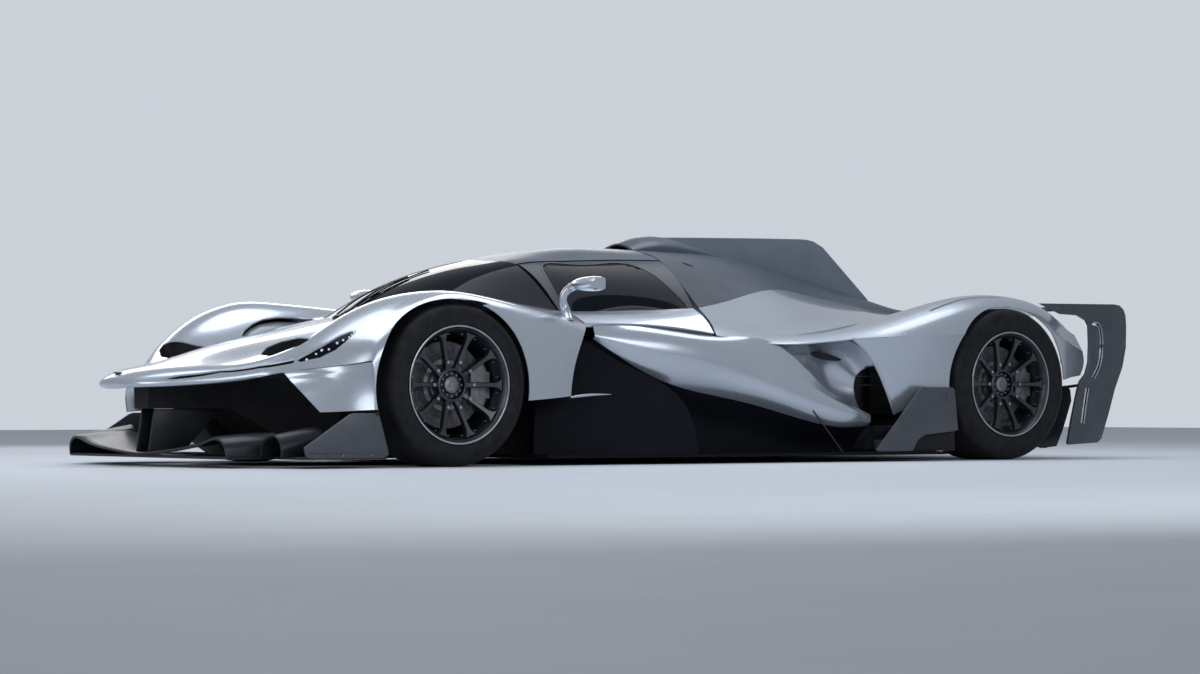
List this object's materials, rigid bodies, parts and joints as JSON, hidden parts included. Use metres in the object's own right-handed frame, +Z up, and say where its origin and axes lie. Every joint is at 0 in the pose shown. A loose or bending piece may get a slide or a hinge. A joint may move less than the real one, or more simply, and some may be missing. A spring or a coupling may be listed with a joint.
{
  "type": "track hypercar",
  "caption": "Silver closed-cockpit track hypercar with roof scoop, shark fin, open side channels, wide tail end plates and dark spoked wheels.",
  "frame": {"origin": "on the ground, at the middle of the car's length and width", "axes": "+X towards the tail, so the nose points to -X; +Z up; the car's left side is -Y"},
  "size_m": [4.96, 1.9778, 1.06],
  "materials": {
    "silver_paint": "gloss",
    "satin_carbon": "satin",
    "dark_carbon": "satin",
    "dark_glass": "polished",
    "tyre_rubber": "matte",
    "gunmetal": "satin",
    "disc_carbon": "matte",
    "cast_grey": "satin",
    "suede_black": "matte",
    "lamp_clear": "polished",
    "lamp_red": "gloss"
  },
  "bodies": {
    "chassis": {"front_clamshell": "silver_paint", "rear_clamshell": "silver_paint", "engine_cover": "satin_carbon", "airbox_fin": "satin_carbon", "windscreen": "dark_glass", "roof": "satin_carbon", "floor": "dark_carbon", "tub": "dark_carbon", "engine": "cast_grey", "front_wing": "dark_carbon", "rear_wing": "dark_carbon", "diffuser": "dark_carbon", "dashboard": "suede_black", "wiper": "dark_carbon", "rear_lamp": "lamp_red", "sidepod_left": "silver_paint", "outlet_duct_left": "cast_grey", "side_board_left": "dark_carbon", "rear_deflector_left": "dark_carbon", "seat_left": "suede_black", "mirror_left": "silver_paint", "headlamp_left": "lamp_clear", "suspension_front_left": "dark_carbon", "suspension_rear_left": "dark_carbon", "upright_rear_left": "cast_grey", "sidepod_right": "silver_paint", "outlet_duct_right": "cast_grey", "side_board_right": "dark_carbon", "rear_deflector_right": "dark_carbon", "seat_right": "suede_black", "mirror_right": "silver_paint", "headlamp_right": "lamp_clear", "suspension_front_right": "dark_carbon", "suspension_rear_right": "dark_carbon", "upright_rear_right": "cast_grey"},
    "steering": {"steering_wheel": "suede_black"},
    "door_left": {"door_left": "silver_paint", "door_glass_left": "dark_glass"},
    "knuckle_left": {"upright_front_left": "cast_grey"},
    "wheel_front_left": {"tyre_front_left": "tyre_rubber", "rim_front_left": "gunmetal", "disc_front_left": "disc_carbon"},
    "wheel_rear_left": {"tyre_rear_left": "tyre_rubber", "rim_rear_left": "gunmetal", "disc_rear_left": "disc_carbon"},
    "door_right": {"door_right": "silver_paint", "door_glass_right": "dark_glass"},
    "knuckle_right": {"upright_front_right": "cast_grey"},
    "wheel_front_right": {"tyre_front_right": "tyre_rubber", "rim_front_right": "gunmetal", "disc_front_right": "disc_carbon"},
    "wheel_rear_right": {"tyre_rear_right": "tyre_rubber", "rim_rear_right": "gunmetal", "disc_rear_right": "disc_carbon"}
  },
  "joints": [
    {"name": "steering_wheel", "type": "hinge", "parent": "chassis", "child": "steering", "pos_m": [-0.663, -0.25, 0.56], "axis": [0.9701, 0, 0.2425], "range_deg": [-140, 140]},
    {"name": "steer_front_left", "type": "hinge", "parent": "chassis", "child": "knuckle_left", "pos_m": [-1.363, -0.74, 0.337], "axis": [0, 0, 1], "range_deg": [-14, 14]},
    {"name": "spin_front_left", "type": "hinge", "parent": "knuckle_left", "child": "wheel_front_left", "pos_m": [-1.363, -0.8, 0.337], "axis": [0, 1, 0], "continuous": true},
    {"name": "spin_rear_left", "type": "hinge", "parent": "chassis", "child": "wheel_rear_left", "pos_m": [1.717, -0.79, 0.354], "axis": [0, 1, 0], "continuous": true},
    {"name": "door_left", "type": "hinge", "parent": "chassis", "child": "door_left", "pos_m": [-0.523, -0.3545, 0.8905], "axis": [-0.9904, 0.1321, -0.0396], "range_deg": [0, 70]},
    {"name": "steer_front_right", "type": "hinge", "parent": "chassis", "child": "knuckle_right", "pos_m": [-1.363, 0.74, 0.337], "axis": [0, 0, 1], "range_deg": [-14, 14]},
    {"name": "spin_front_right", "type": "hinge", "parent": "knuckle_right", "child": "wheel_front_right", "pos_m": [-1.363, 0.8, 0.337], "axis": [0, 1, 0], "continuous": true},
    {"name": "spin_rear_right", "type": "hinge", "parent": "chassis", "child": "wheel_rear_right", "pos_m": [1.717, 0.79, 0.354], "axis": [0, 1, 0], "continuous": true},
    {"name": "door_right", "type": "hinge", "parent": "chassis", "child": "door_right", "pos_m": [-0.523, 0.3545, 0.8905], "axis": [0.9904, 0.1321, 0.0396], "range_deg": [0, 70]}
  ],
  "couplings": [
    {"joint": "steer_front_left", "follows": "steering_wheel", "ratio": 0.1},
    {"joint": "steer_front_right", "follows": "steering_wheel", "ratio": 0.1}
  ]
}
